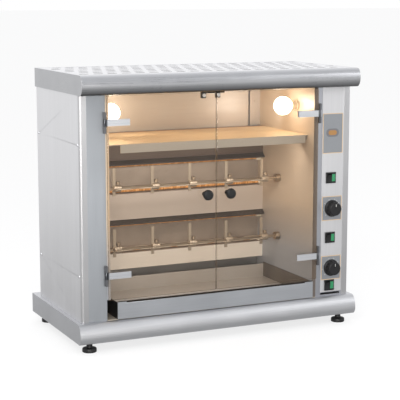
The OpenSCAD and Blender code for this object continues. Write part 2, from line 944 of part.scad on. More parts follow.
// Control knob: a skirt, a fluted grip with a raised pointer, and the shaft it turns
module knob(z) {
    skirt_r = knob_d / 2;
    grip_r = skirt_r - 4;
    plate_face = panel_front - plate_t;
    color(black) translate([control_x, plate_face - 0.5, z]) rotate([90, 0, 0]) {
        difference() {
            rotate_extrude() polygon([
                [0, 0], [skirt_r, 0], [skirt_r, 4], [grip_r + 1, 7], [grip_r - 1, knob_depth - 3],
                [grip_r - 3, knob_depth - 1], [0, knob_depth - 1]
            ]);
            for (i = [0:11]) rotate([0, 0, i * 30 + 15]) translate([grip_r + 2, 0, 8])
                cylinder(h = knob_depth, r = 3.5);
        }
        translate([-1.5, 2, knob_depth - 2]) cube([3, grip_r - 6, 2]);
        translate([0, 0, plate_face - 0.5 - shaft_end])
            cylinder(h = shaft_end - plate_face + 1, r = shaft_r);
    }
}

module upper_knob() { knob(knob_levels[0]); }
module lower_knob() { knob(knob_levels[1]); }

// ---- Drip tray ----

// The pan: one sheet folded up at the front and the back
module drip_tray() {
    x = [tray_left + sheet, tray_right - sheet];
    y = [tray_front_y + sheet, tray_back_y];
    color(steel_warm) {
        block(x, y, [tray_low, tray_low + sheet]);
        block(x, [y[0], y[0] + sheet], [tray_low, tray_high + 2]);
        block(x, [y[1] - sheet, y[1]], [tray_low, tray_high - 6]);
    }
}

module tray_sides() {
    color(black) for (x = [[tray_left, tray_left + sheet], [tray_right - sheet, tray_right]])
        block(x, [tray_front_y + sheet, tray_back_y], [tray_low, tray_high - 1]);
}

// The stainless front: a plate with a low rolled lip between its two corners
module tray_front() {
    lip_in = 26;
    lip_r = 1.2;
    color(steel) {
        block([tray_left, tray_right], [tray_front_y, tray_front_y + sheet],
            [tray_low, tray_high - 4]);
        block([tray_left, tray_left + lip_in], [tray_front_y, tray_front_y + sheet],
            [tray_low, tray_high]);
        block([tray_right - lip_in, tray_right], [tray_front_y, tray_front_y + sheet],
            [tray_low, tray_high]);
        rod_x([tray_left + lip_in, tray_right - lip_in], tray_front_y + sheet - lip_r,
            tray_high - 4, lip_r);
    }
}

// ---- Supply entry ----

// A clamping gland with a nut on each side of the back panel
module cable_gland() {
    gland_inside = 12;
    gland_outside = 16;
    nut_t = 7;
    color(black) difference() {
        union() {
            rod_y(gland_x, [body_back - gland_inside, body_back + gland_outside], gland_z,
                gland_r - 0.1);
            rod_y(gland_x, [body_back, body_back + nut_t], gland_z, gland_r + 4);
            rod_y(gland_x, [body_back - nut_t, body_back - sheet], gland_z, gland_r + 3);
        }
        rod_y(gland_x, [body_back - gland_inside - 1, body_back + gland_outside + 1], gland_z,
            gland_bore);
    }
}

module terminal_block() {
    half_w = 20;
    y = [100, 118];
    high = base_top + 24;
    pole_pitch = 12;
    pole_r = 2.5;
    pole_depth = 10;
    color(ceramic) difference() {
        block([gland_x - half_w, gland_x + half_w], y, [base_top, high]);
        for (i = [-1:1])
            rod_z(gland_x + i * pole_pitch, (y[0] + y[1]) / 2, [high - pole_depth, high + 1], pole_r);
    }
}

base_plinth();
base_bottom_plate();
levelling_feet();
left_side_panel();
right_side_panel();
back_panel();
left_pillar();
right_column();
control_panel();
nameplate();
top_cap();
vent_panel();
liner_left();
liner_right();
liner_ceiling();
cavity_floor();
upper_back_wall();
reflector_panels();
heater_boxes();
heater_hoods();
quartz_elements();
element_holders();
warming_shelf();
shelf_rails();
lamp_holders();
lamp_bulbs();
left_door_glass();
left_door_clips();
left_door_knob();
right_door_glass();
right_door_clips();
right_door_knob();
hinge_brackets();
hinge_pins();
door_magnets();
upper_spit_bar();
upper_spit_forks();
upper_thumb_screws();
upper_drive_coupling();
lower_spit_bar();
lower_spit_forks();
lower_thumb_screws();
lower_drive_coupling();
spit_bushes();
gear_motors();
switch_housings();
switch_lenses();
rocker_top();
rocker_middle();
rocker_bottom();
knob_plates();
regulators();
upper_knob();
lower_knob();
drip_tray();
tray_sides();
tray_front();
panel_screws();
cable_gland();
terminal_block();
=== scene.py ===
"""The rotisserie oven's visual model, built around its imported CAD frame: a material for every CAD node,
rounded edges, the small pieces that the CAD leaves out, and the studio around the oven."""

import json
import math

import bmesh
import bpy
from mathutils import Matrix, Vector


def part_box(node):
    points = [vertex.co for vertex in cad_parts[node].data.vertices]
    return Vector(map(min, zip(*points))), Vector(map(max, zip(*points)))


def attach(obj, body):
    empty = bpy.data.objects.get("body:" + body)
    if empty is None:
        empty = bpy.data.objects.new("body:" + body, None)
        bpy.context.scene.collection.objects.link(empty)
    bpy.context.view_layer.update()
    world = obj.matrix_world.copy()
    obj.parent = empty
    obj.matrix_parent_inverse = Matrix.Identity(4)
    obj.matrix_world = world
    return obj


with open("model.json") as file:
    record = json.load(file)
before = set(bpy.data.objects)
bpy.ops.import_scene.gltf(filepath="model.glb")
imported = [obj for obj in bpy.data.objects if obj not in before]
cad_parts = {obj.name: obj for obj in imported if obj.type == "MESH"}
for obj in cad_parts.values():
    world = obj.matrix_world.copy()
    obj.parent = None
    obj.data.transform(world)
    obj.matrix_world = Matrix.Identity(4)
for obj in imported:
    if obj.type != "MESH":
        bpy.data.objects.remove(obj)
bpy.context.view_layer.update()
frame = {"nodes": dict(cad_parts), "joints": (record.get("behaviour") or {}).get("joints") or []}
nodes = frame["nodes"]
MM = 0.001  # lengths are in metres


# ---- Building a material ----

# Nearly all of a noise's values lie in this band
NOISE_BAND = (0.3, 0.7)


def srgb(red, green, blue):
    """A colour given as 0-255 screen values, as the linear colour that Blender's shaders use."""
    return tuple((c / 255 / 12.92) if c < 11 else ((c / 255 + 0.055) / 1.055) ** 2.4
                 for c in (red, green, blue))


def scaled(colour, factor):
    """A colour made lighter or darker."""
    return tuple(min(1.0, c * factor) for c in colour)


class Paint:
    """A material being built: one Principled surface and the procedural nodes that feed it."""

    def __init__(self, name, colour, roughness, metallic=0.0):
        self.material = bpy.data.materials.new(name)
        self.material.use_nodes = True
        self.tree = self.material.node_tree
        self.surface = self.tree.nodes["Principled BSDF"]
        self.colour = colour
        self.set("Base Color", (*colour, 1))
        self.set("Roughness", roughness)
        self.set("Metallic", metallic)
        coordinates = self.tree.nodes.new("ShaderNodeTexCoord").outputs
        self.place = coordinates["Object"]
        self.facing = coordinates["Normal"]
        self.normal = None

    def set(self, socket, value):
        """Sets one of the surface's own sockets."""
        self.surface.inputs[socket].default_value = value
        return self

    def node(self, kind, inputs=(), **settings):
        """Adds a node. inputs pairs a socket with a value or with another node's output."""
        made = self.tree.nodes.new(kind)
        for name, value in settings.items():
            setattr(made, name, value)
        for socket, value in dict(inputs).items():
            if isinstance(value, bpy.types.NodeSocket):
                self.tree.links.new(value, made.inputs[socket])
            else:
                made.inputs[socket].default_value = value
        return made

    def noise(self, scale, stretch=(1, 1, 1), detail=3.0, roughness=0.5):
        """Noise in the object's own space, squeezed along each axis by stretch."""
        place = self.node("ShaderNodeMapping", {"Vector": self.place, "Scale": stretch}).outputs[0]
        made = self.node("ShaderNodeTexNoise", {"Vector": place, "Scale": scale, "Detail": detail,
                                                "Roughness": roughness})
        return made.outputs["Fac"]

    def ranged(self, value, low, high, to_low=0.0, to_high=1.0):
        """Maps a value from one range to another, and holds it inside the new one."""
        inputs = {"Value": value, "From Min": low, "From Max": high,
                  "To Min": to_low, "To Max": to_high}
        return self.node("ShaderNodeMapRange", inputs).outputs["Result"]

    def part(self, vector, axis):
        """One of a vector's three parts."""
        return self.node("ShaderNodeSeparateXYZ", {0: vector}).outputs[axis]

    def along(self, axis, start, end):
        """0 at start and 1 at end along one of the object's own axes."""
        return self.ranged(self.part(self.place, axis), start, end)

    def turned(self, axis, start, end):
        """0 to 1 as the surface turns to face along one of the object's own axes."""
        return self.ranged(self.part(self.facing, axis), start, end)

    def both(self, *shares):
        """The product of several shares."""
        result = shares[0]
        for share in shares[1:]:
            result = self.node("ShaderNodeMath", {0: result, 1: share}, operation="MULTIPLY").outputs[0]
        return result

    def added(self, first, second):
        """The sum of two shares."""
        return self.node("ShaderNodeMath", {0: first, 1: second}, operation="ADD").outputs[0]

    def mixed(self, share, first, second):
        """A colour between two others. Each is a colour or another node's output."""
        made = self.node("ShaderNodeMix", data_type="RGBA")
        colour_a, colour_b, colour_out = made.inputs[6], made.inputs[7], made.outputs[2]
        for socket, value in ((made.inputs["Factor"], share), (colour_a, first), (colour_b, second)):
            if isinstance(value, bpy.types.NodeSocket):
                self.tree.links.new(value, socket)
            else:
                socket.default_value = (*value, 1)
        return colour_out

    def drive(self, socket, value):
        """Feeds one of the surface's sockets from a node."""
        self.tree.links.new(value, self.surface.inputs[socket])
        return self

    def bump(self, height, strength, distance):
        """Adds a layer of relief over the ones already there. distance is the relief's full height."""
        inputs = {"Height": height, "Strength": strength, "Distance": distance}
        if self.normal is not None:
            inputs["Normal"] = self.normal
        self.normal = self.node("ShaderNodeBump", inputs).outputs["Normal"]
        return self.drive("Normal", self.normal)

    def roughened(self, noise, smooth, rough):
        """Varies the roughness between two values with a noise."""
        return self.drive("Roughness", self.ranged(noise, *NOISE_BAND, smooth, rough))

    def glowing(self, colour, strength):
        """Gives the surface light of its own."""
        return self.set("Emission Color", (*colour, 1)).set("Emission Strength", strength)

    def shown(self, shader):
        """Shows a shader in place of the plain surface."""
        self.tree.links.new(shader, self.tree.nodes["Material Output"].inputs["Surface"])

    def coloured(self, tone):
        """The finished material, with its colour fed from a node."""
        return self.drive("Base Color", tone).material


# ---- Materials ----

GRAIN_ALONG = 6      # how fast the brushing changes along its own direction, in cycles per metre
GRAIN_ACROSS = 900   # and across it
WHITE = (1, 1, 1)


def stretched(along, slow, fast):
    """A noise scale that is slow along one axis and fast along the other two."""
    return tuple(slow if axis == along else fast for axis in "XYZ")


def brushing(paint, along, relief, roughness, streak=0.35):
    """Fine grain, broad polish streaks and faint smears, as colour, roughness and relief."""
    grain = paint.noise(1.0, stretched(along, GRAIN_ALONG, GRAIN_ACROSS), detail=4)
    streaks = paint.noise(1.0, stretched(along, 0.8, 22), detail=2)
    smears = paint.noise(7.0, detail=4, roughness=0.6)
    colour = paint.colour
    tone = paint.mixed(paint.ranged(grain, *NOISE_BAND), scaled(colour, 0.94), scaled(colour, 1.05))
    tone = paint.mixed(paint.ranged(streaks, 0.35, 0.65, 0, streak), tone, scaled(colour, 0.9))
    rough = paint.ranged(grain, *NOISE_BAND, roughness - 0.05, roughness + 0.05)
    paint.drive("Roughness", paint.added(rough, paint.ranged(smears, 0.45, 0.75, 0, 0.10)))
    paint.bump(grain, relief, 0.3 * MM)
    paint.set("Anisotropic", 0.35)
    return tone


def cavity_tone(paint, along, stain):
    """The colour of bright cavity sheet with fine grain and a light film of heat colour."""
    colour = paint.colour
    grain = paint.noise(1.0, stretched(along, GRAIN_ALONG, GRAIN_ACROSS), detail=3)
    film = paint.noise(4.0, detail=4, roughness=0.55)
    brown_tone = (colour[0] * 0.8, colour[1] * 0.66, colour[2] * 0.5)
    tone = paint.mixed(paint.ranged(grain, *NOISE_BAND), scaled(colour, 0.95), scaled(colour, 1.04))
    paint.bump(grain, 0.06, 0.3 * MM)
    return paint.mixed(paint.ranged(film, 0.4, 0.75, 0, stain), tone, brown_tone)


def wiped(paint, along, roughness):
    """Roughness with wiping marks along one axis."""
    marks = paint.noise(1.0, stretched(along, 3, 40), detail=3)
    paint.drive("Roughness", paint.ranged(marks, 0.35, 0.65, roughness - 0.04, roughness + 0.06))


def brushed_steel(name, colour, roughness, along, metallic=1.0, relief=0.12):
    """Stainless sheet brushed along one axis."""
    paint = Paint(name, colour, roughness, metallic)
    return paint.coloured(brushing(paint, along, relief, roughness))


def case_steel(name, colour, roughness):
    """The side panels: brushed upright, with painted shade on the narrow strips they turn round the
    front.
    """
    paint = Paint(name, colour, roughness, 1.0)
    tone = brushing(paint, "Z", 0.10, roughness, streak=0.15)
    # painted shade: faces turned to the front are darkened to 0.7
    return paint.coloured(paint.mixed(paint.turned("Y", -0.1, -0.6), tone, scaled(colour, 0.70)))


def slotted_steel(name, colour, roughness):
    """The vent panel: bright on top, and nearly black on the cut edges of its slots, as painted shade."""
    paint = Paint(name, colour, roughness, 1.0)
    tone = brushing(paint, "X", 0.12, roughness)
    # painted shade: faces that don't face up, the cut edges of the slots, are nearly black
    slot_edge_shade = srgb(34, 33, 32)
    return paint.coloured(paint.mixed(paint.turned("Z", 0.75, 0.45), tone, slot_edge_shade))


def cap_steel(name, colour, roughness):
    """The cap's brushed sheet. Its downward faces are darkened as painted shade, and its inner faces,
    seen through the vent slots, are dark grey as painted shade."""
    paint = Paint(name, colour, roughness, 1.0)
    tone = brushing(paint, "X", 0.12, roughness)
    low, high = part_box("top_cap")
    nose = low.y + 18 * MM  # the back of the rounded nose
    edge = 0.4 * MM
    inner = paint.both(paint.along("X", low.x + edge, low.x + 2 * edge),
                       paint.along("X", high.x - edge, high.x - 2 * edge),
                       paint.along("Y", nose, nose + edge),
                       paint.along("Y", high.y - edge, high.y - 2 * edge),
                       paint.along("Z", low.z + edge, low.z + 2 * edge),
                       paint.along("Z", high.z - edge, high.z - 2 * edge))
    # painted shade: the cap's inner faces, seen through the vent slots, are dark grey
    dust_and_shade = srgb(58, 57, 56)
    # painted shade: faces turned downwards, the underside of the nose, are darkened to 0.22
    tone = paint.mixed(paint.turned("Z", 0.35, -0.8), tone, scaled(colour, 0.22))
    return paint.coloured(paint.mixed(inner, tone, dust_and_shade))


def clip_steel(name, colour, roughness):
    """Polished clips. The knuckles that wrap the hinge pins, beside the opening, are dark grey: painted
    shade.
    """
    paint = Paint(name, colour, roughness, 1.0)
    tone = brushing(paint, "X", 0.04, roughness)
    left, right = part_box("left_door_glass")[0].x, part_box("right_door_glass")[1].x
    knuckles = paint.added(paint.along("X", left + 2 * MM, left),
                           paint.along("X", right - 2 * MM, right))
    # painted shade on the knuckles beside the opening
    darker_tone = srgb(96, 98, 102)
    return paint.coloured(paint.mixed(knuckles, tone, darker_tone))


def pillar_steel(name, colour, roughness):
    """The left pillar: brushed upright, and darkened towards the cap by a painted shadow of the cap."""
    paint = Paint(name, colour, roughness, 1.0)
    tone = brushing(paint, "Z", 0.12, roughness)
    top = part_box("left_pillar")[1].z
    # painted shadow of the cap: the top 260 mm darken to 0.62
    cap_shadow = paint.along("Z", top - 260 * MM, top)
    return paint.coloured(paint.mixed(cap_shadow, tone, scaled(colour, 0.62)))


def ceiling_shaded_on_top(name, colour):
    """The cavity's ceiling: bright below, and a dark mottled grey on top, under the vent slots, as
    painted shade.
    """
    paint = Paint(name, colour, 0.35, 0.7)
    dust_and_shade = paint.noise(60.0, detail=4)
    under = cavity_tone(paint, "X", 0.3)
    # painted shade: the top faces under the cap are a dark mottled grey
    above = paint.mixed(dust_and_shade, srgb(40, 39, 38), srgb(66, 64, 61))
    paint.roughened(dust_and_shade, 0.3, 0.5)
    return paint.coloured(paint.mixed(paint.turned("Z", 0.3, 0.6), under, above))


def heat_tinted_steel(name, colour, roughness):
    """Steel inside the heating zones, browned by heat and baked-on fat."""
    paint = Paint(name, colour, roughness, 0.35)
    clouds = paint.noise(9.0, detail=5, roughness=0.6)
    spots = paint.noise(70.0, detail=3)
    tone = paint.mixed(paint.ranged(clouds, 0.35, 0.7), scaled(colour, 0.84), scaled(colour, 1.14))
    tone = paint.mixed(paint.ranged(spots, 0.62, 0.75, 0, 0.35), tone, scaled(colour, 0.55))
    paint.roughened(clouds, roughness - 0.1, roughness + 0.12)
    paint.bump(spots, 0.15, 0.4 * MM)
    return paint.coloured(tone)


def floor_steel(name, colour, roughness):
    """The cavity's floor: bright sheet."""
    paint = Paint(name, colour, roughness, 0.6)
    tone = cavity_tone(paint, "X", 0.25)
    wiped(paint, "X", roughness)
    return paint.coloured(tone)


def panel_steel(name, colour, roughness):
    """The two reflector panels: the upper one is darker than the lower."""
    paint = Paint(name, colour, roughness, 0.3)
    tone = cavity_tone(paint, "X", 0.12)
    low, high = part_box("reflector_panels")
    middle = (low.z + high.z) / 2
    upper = paint.along("Z", middle, middle + 1 * MM)
    darker_tone = srgb(204, 196, 190)
    wiped(paint, "X", roughness)
    return paint.coloured(paint.mixed(upper, tone, darker_tone))


def upper_wall_steel(name, colour, roughness):
    """The stepped back wall: bright above the shelf, and dark brown below it as painted shade under the
    shelf.
    """
    paint = Paint(name, colour, roughness, 0.6)
    bright = cavity_tone(paint, "X", 0.2)
    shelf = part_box("warming_shelf")[1].z
    below = paint.along("Z", shelf + 1 * MM, shelf - 1 * MM)
    # painted shade under the shelf: the wall below the shelf's top is dark brown
    brown_tone = srgb(92, 80, 72)
    wiped(paint, "X", roughness)
    return paint.coloured(paint.mixed(below, bright, brown_tone))


def side_wall_steel(name, colour, roughness):
    """Cavity side walls: tan above, greyer low down, and dark brown on the right flange beside the door
    as painted shade.
    """
    paint = Paint(name, colour, roughness, 0.25)
    tan = cavity_tone(paint, "Y", 0.3)
    grey, brown_tone = srgb(160, 164, 172), srgb(106, 98, 92)
    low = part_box("liner_right")[0]
    tone = paint.mixed(paint.along("Z", low.z + 270 * MM, low.z + 120 * MM), tan, grey)
    front = low.y + 3 * MM
    # painted shade: the front face of the right flange beside the door is dark brown
    flange = paint.both(paint.along("Y", front, front - 1 * MM), paint.along("X", low.x - 1 * MM, low.x))
    wiped(paint, "Y", roughness)
    return paint.coloured(paint.mixed(flange, tone, brown_tone))


def shelf_steel(name, colour, roughness):
    """The warming shelf: straw-tinted by heat, bronzed along its back edge over the heater, and a darker
    grey on its front lip as painted shade."""
    paint = Paint(name, colour, roughness, 0.15)
    tone = cavity_tone(paint, "X", 0.35)
    bronze, grey = srgb(196, 132, 78), srgb(164, 161, 155)
    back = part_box("warming_shelf")[1].y
    tone = paint.mixed(paint.along("Y", back - 16 * MM, back - 6 * MM), tone, bronze)
    wiped(paint, "X", roughness)
    # painted shade: the faces turned to the front, the lip, are a darker grey
    return paint.coloured(paint.mixed(paint.turned("Y", -0.5, -0.8), tone, grey))


def tray_steel(name, colour, roughness):
    """The pan: brushed, filmed with fat, darker towards the front, and with a painted shadow along its
    front edge, under the tray's front lip.
    """
    paint = Paint(name, colour, roughness, 0.5)
    tone = cavity_tone(paint, "X", 0.4)
    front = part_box("drip_tray")[0].y
    near = paint.along("Y", front + 170 * MM, front + 20 * MM)
    front_patches = paint.ranged(paint.noise(11.0, detail=4), 0.2, 0.7, 0.4, 0.8)
    tone = paint.mixed(paint.both(near, front_patches), tone, scaled(colour, 0.62))
    lip_shadow = srgb(44, 38, 34)
    wiped(paint, "X", roughness)
    # painted shadow: the gap under the tray's front lip
    return paint.coloured(paint.mixed(paint.along("Y", front + 4 * MM, front + 2 * MM), tone, lip_shadow))


def moulded_plastic(name, colour, roughness, grain=0.25):
    """Black moulded plastic with a fine spark-eroded grain and handling shine."""
    paint = Paint(name, colour, roughness)
    texture = paint.noise(2200.0, detail=2)
    wear = paint.noise(60.0, detail=3)
    paint.roughened(wear, roughness - 0.08, roughness + 0.08)
    paint.bump(texture, grain, 0.2 * MM)
    return paint.coloured(paint.mixed(paint.ranged(wear, 0.45, 0.8), colour, scaled(colour, 2.2)))


def black_enamel(name, colour):
    """Black enamel with slight orange peel and specks of dust. The faces inside the tray are a lighter
    mottled brown-grey: partly a film of baked fat, partly a painted reflection of the pan."""
    paint = Paint(name, colour, 0.4)
    peel = paint.noise(350.0, detail=2)
    dust_and_shade = paint.noise(900.0, detail=2)
    tone = paint.mixed(paint.ranged(dust_and_shade, 0.66, 0.75, 0, 0.3), colour, srgb(60, 54, 47))
    left_inside = paint.both(paint.along("X", 0, -1 * MM), paint.turned("X", 0.5, 0.9))
    right_inside = paint.both(paint.along("X", 0, 1 * MM), paint.turned("X", -0.5, -0.9))
    # partly a painted reflection: the inner faces are lightened to a mottled brown-grey
    film = paint.mixed(paint.noise(16.0, detail=4), srgb(58, 52, 47), srgb(112, 103, 94))
    paint.roughened(peel, 0.36, 0.5)
    paint.bump(peel, 0.2, 0.3 * MM)
    return paint.coloured(paint.mixed(paint.added(left_inside, right_inside), tone, film))


def printed_plate(name, colour):
    """Satin printed aluminium plate."""
    paint = Paint(name, colour, 0.5, 0.2)
    speckle = paint.noise(1500.0, detail=2)
    fade = paint.noise(18.0, detail=2)
    tone = paint.mixed(paint.ranged(speckle, 0.35, 0.65), scaled(colour, 0.93), scaled(colour, 1.06))
    tone = paint.mixed(paint.ranged(fade, 0.4, 0.7, 0, 0.3), tone, scaled(colour, 1.1))
    paint.roughened(fade, 0.44, 0.56)
    paint.bump(speckle, 0.08, 0.2 * MM)
    return paint.coloured(tone)


def ceramic(name, clean, tinted):
    """Unglazed steatite with fine pores and a heat tint."""
    paint = Paint(name, clean, 0.6)
    pores = paint.noise(900.0, detail=3)
    tint = paint.noise(30.0, detail=3)
    paint.roughened(pores, 0.5, 0.72)
    paint.bump(pores, 0.2, 0.3 * MM)
    return paint.coloured(paint.mixed(paint.ranged(tint, 0.45, 0.8, 0, 0.6), clean, tinted))


def cast_metal(name, dark, light):
    """Die-cast gear-motor housing."""
    paint = Paint(name, dark, 0.5, 0.8)
    grit = paint.noise(500.0, detail=4)
    paint.roughened(grit, 0.42, 0.6)
    paint.bump(grit, 0.3, 0.4 * MM)
    return paint.coloured(paint.mixed(grit, dark, light))


def quartz(name, tube, coil):
    """Warm quartz tube, with the coil inside showing as close bands."""
    paint = Paint(name, tube, 0.25)
    bands = paint.noise(1.0, (220, 1, 1), detail=1)
    paint.glowing(srgb(255, 172, 84), 0.08)
    paint.roughened(bands, 0.18, 0.32)
    paint.set("Coat Weight", 0.5)
    return paint.coloured(paint.mixed(paint.ranged(bands, 0.4, 0.6), tube, coil))


def green_lens(name, dark, light):
    """Translucent green lens with the ribs moulded in its back."""
    paint = Paint(name, dark, 0.3)
    ribs = paint.node("ShaderNodeTexWave", {"Vector": paint.place, "Scale": 160.0, "Distortion": 0.0},
                      bands_direction="Z").outputs["Fac"]
    paint.drive("Roughness", paint.ranged(ribs, 0, 1, 0.24, 0.36))
    paint.glowing(srgb(30, 140, 84), 0.08)
    paint.set("Coat Weight", 0.4)
    return paint.coloured(paint.mixed(ribs, dark, light))


def lit_bulb(name, colour):
    """Frosted oven lamp, lit."""
    paint = Paint(name, colour, 0.4)
    frost = paint.noise(400.0, detail=2)
    paint.roughened(frost, 0.3, 0.5)
    paint.bump(frost, 0.1, 0.2 * MM)
    return paint.glowing((1.0, 0.95, 0.86), 11.5).material


def tinted_glass(name, tint, edge):
    """Thin toughened pane: what is behind shows through it unbent, tinted, with a mirror film over it.
    The film is on the way in only: light that isn't bent would be trapped on its way out.
    The ground edges are darker and duller than the faces."""
    paint = Paint(name, edge, 0.5)
    through = paint.node("ShaderNodeBsdfTransparent", {"Color": (*tint, 1)}).outputs[0]
    film = paint.node("ShaderNodeBsdfGlossy", {"Color": (*WHITE, 1), "Roughness": 0.02}).outputs[0]
    fresnel = paint.node("ShaderNodeFresnel", {"IOR": 1.45}).outputs[0]
    leaving = paint.node("ShaderNodeNewGeometry").outputs["Backfacing"]
    share = paint.both(fresnel, paint.ranged(leaving, 0, 1, 1, 0))
    face = paint.node("ShaderNodeMixShader", {0: share, 1: through, 2: film}).outputs[0]
    across = paint.node("ShaderNodeMath", {0: paint.part(paint.facing, "Y")}, operation="ABSOLUTE")
    ground = paint.ranged(across.outputs[0], 0.5, 0.4, 0, 0.6)
    ground_edge = paint.node("ShaderNodeBsdfDiffuse", {"Color": (*edge, 1)}).outputs[0]
    pane = paint.node("ShaderNodeMixShader", {0: ground, 1: face, 2: ground_edge}).outputs[0]
    paint.shown(pane)
    paint.tree.nodes.remove(paint.surface)
    return paint.material


def flat_print(name, colour, roughness=0.45):
    """Printed or inlaid colour with a faint mottle, for borders, dial marks and the badge, and for the
    painted shade in the screw recesses.
    """
    paint = Paint(name, colour, roughness)
    mottle = paint.noise(1200.0, detail=2)
    paint.roughened(mottle, roughness - 0.06, roughness + 0.06)
    paint.bump(mottle, 0.05, 0.1 * MM)
    return paint.coloured(paint.mixed(mottle, scaled(colour, 0.9), scaled(colour, 1.1)))


MATERIALS = {
    "case": case_steel("case", srgb(222, 222, 224), 0.38),
    "vent": slotted_steel("vent", srgb(226, 226, 228), 0.36),
    "cap": cap_steel("cap", srgb(204, 205, 208), 0.30),
    "ceiling": ceiling_shaded_on_top("ceiling", srgb(214, 204, 188)),
    "pillar": pillar_steel("pillar", srgb(184, 188, 193), 0.36),
    "column": brushed_steel("column", srgb(176, 178, 184), 0.36, "Z"),
    "panel_face": brushed_steel("panel_face", srgb(202, 202, 204), 0.45, "Z", metallic=0.6),
    "plinth": brushed_steel("plinth", srgb(200, 201, 204), 0.42, "X"),
    "inside": floor_steel("inside", srgb(214, 204, 188), 0.35),
    "upper_wall": upper_wall_steel("upper_wall", srgb(188, 181, 175), 0.46),
    "side_wall": side_wall_steel("side_wall", srgb(208, 192, 172), 0.42),
    "panel": panel_steel("panel", srgb(238, 234, 228), 0.45),
    "shelf": shelf_steel("shelf", srgb(228, 204, 168), 0.5),
    "tray_pan": tray_steel("tray_pan", srgb(200, 198, 196), 0.4),
    "tray_face": brushed_steel("tray_face", srgb(190, 193, 198), 0.36, "X"),
    "heat": heat_tinted_steel("heat", srgb(166, 156, 146), 0.5),
    "hood": heat_tinted_steel("hood", srgb(74, 67, 61), 0.5),
    "polished": brushed_steel("polished", srgb(232, 233, 236), 0.2, "X", relief=0.04),
    "clip": clip_steel("clip", srgb(216, 218, 222), 0.3),
    # painted shade: the hinge brackets and pins are given a dark grey
    "bracket": brushed_steel("bracket", srgb(96, 97, 100), 0.45, "Z", metallic=0.6),
    "spit": brushed_steel("spit", srgb(178, 164, 146), 0.36, "X", relief=0.05),
    "fork": brushed_steel("fork", srgb(184, 173, 158), 0.36, "Z", metallic=0.7, relief=0.05),
    "lamp_base": ceramic("lamp_base", srgb(196, 178, 152), srgb(164, 140, 110)),
    "plastic": moulded_plastic("plastic", srgb(9, 9, 10), 0.55),
    "knob": moulded_plastic("knob", srgb(8, 8, 9), 0.5, 0.1),
    "enamel": black_enamel("enamel", srgb(11, 11, 11)),
    "plate": printed_plate("plate", srgb(134, 137, 141)),
    "ceramic": ceramic("ceramic", srgb(232, 226, 210), srgb(196, 172, 136)),
    "motor": cast_metal("motor", srgb(128, 130, 133), srgb(172, 174, 177)),
    "quartz": quartz("quartz", srgb(180, 124, 62), srgb(226, 170, 104)),
    "lens": green_lens("lens", srgb(26, 112, 70), srgb(46, 140, 92)),
    "bulb": lit_bulb("bulb", srgb(255, 244, 220)),
    "glass": tinted_glass("glass", srgb(250, 246, 241), srgb(116, 100, 82)),
    "tan_print": flat_print("tan_print", srgb(214, 184, 146)),
    "badge_print": flat_print("badge_print", srgb(160, 118, 70), 0.35),
    "dark_print": flat_print("dark_print", srgb(108, 108, 112)),
    "white_print": flat_print("white_print", srgb(226, 226, 222)),
    # painted shade: the dark colour of the screws' cross recesses
    "recess": flat_print("recess", srgb(34, 34, 36), 0.7),
}

# The CAD nodes that each material covers
NODE_MATERIALS = {
    "case": ["left_side_panel", "right_side_panel", "back_panel"],
    "vent": ["vent_panel"],
    "cap": ["top_cap"],
    "ceiling": ["liner_ceiling"],
    "pillar": ["left_pillar"],
    "column": ["right_column"],
    "panel_face": ["control_panel"],
    "plinth": ["base_plinth", "base_bottom_plate"],
    "inside": ["cavity_floor"],
    "upper_wall": ["upper_back_wall"],
    "side_wall": ["liner_left", "liner_right"],
    "panel": ["reflector_panels"],
    "shelf": ["warming_shelf"],
    "tray_pan": ["drip_tray"],
    "tray_face": ["tray_front"],
    "heat": ["heater_boxes", "shelf_rails"],
    "hood": ["heater_hoods"],
    "polished": ["panel_screws"],
    "clip": ["left_door_clips", "right_door_clips"],
    "bracket": ["hinge_brackets", "hinge_pins"],
    "spit": ["upper_spit_bar", "upper_drive_coupling", "lower_spit_bar", "lower_drive_coupling",
             "upper_thumb_screws", "lower_thumb_screws", "spit_bushes"],
    "fork": ["upper_spit_forks", "lower_spit_forks"],
    "lamp_base": ["lamp_holders"],
    "plastic": ["levelling_feet", "door_magnets", "switch_housings", "regulators",
                "cable_gland", "left_door_knob", "right_door_knob"],
    "knob": ["upper_knob", "lower_knob", "rocker_top", "rocker_middle", "rocker_bottom"],
    "enamel": ["tray_sides"],
    "plate": ["nameplate", "knob_plates"],
    "ceramic": ["element_holders", "terminal_block"],
    "motor": ["gear_motors"],
    "quartz": ["quartz_elements"],
    "lens": ["switch_lenses"],
    "bulb": ["lamp_bulbs"],
    "glass": ["left_door_glass", "right_door_glass"],
}

# Rounded edges, by radius in millimetres: broken edges on sheet, moulded edges on plastic
EDGE_RADII = {
    1.0: ["base_plinth", "top_cap"],
    0.6: ["left_door_glass", "right_door_glass", "switch_housings", "upper_spit_bar", "lower_spit_bar",
          "spit_bushes", "gear_motors", "hinge_brackets", "element_holders", "terminal_block"],
    0.4: ["left_side_panel", "right_side_panel", "left_pillar", "right_column", "control_panel",
          "warming_shelf", "tray_front", "left_door_clips", "right_door_clips", "door_magnets",
          "rocker_top", "rocker_middle", "rocker_bottom", "switch_lenses", "upper_knob", "lower_knob",
          "upper_spit_forks", "lower_spit_forks", "heater_hoods", "levelling_feet"],
    0.25: ["nameplate", "knob_plates", "vent_panel", "drip_tray", "tray_sides"],
}


def paint_node(node, material):
    """Gives every slot of a CAD node's mesh one material."""
    mesh = nodes[node].data
    if not mesh.materials:
        mesh.materials.append(material)
    for i in range(len(mesh.materials)):
        mesh.materials[i] = material


def bevel_edges(piece, width, sharpness):
    """Rounds the edges that turn by more than an angle in degrees, with a modifier, which leaves the
    piece's own mesh as it is."""
    bevel = piece.modifiers.new("bevel", "BEVEL")
    bevel.width = width
    bevel.segments = 2
    bevel.limit_method = "ANGLE"
    bevel.angle_limit = math.radians(sharpness)


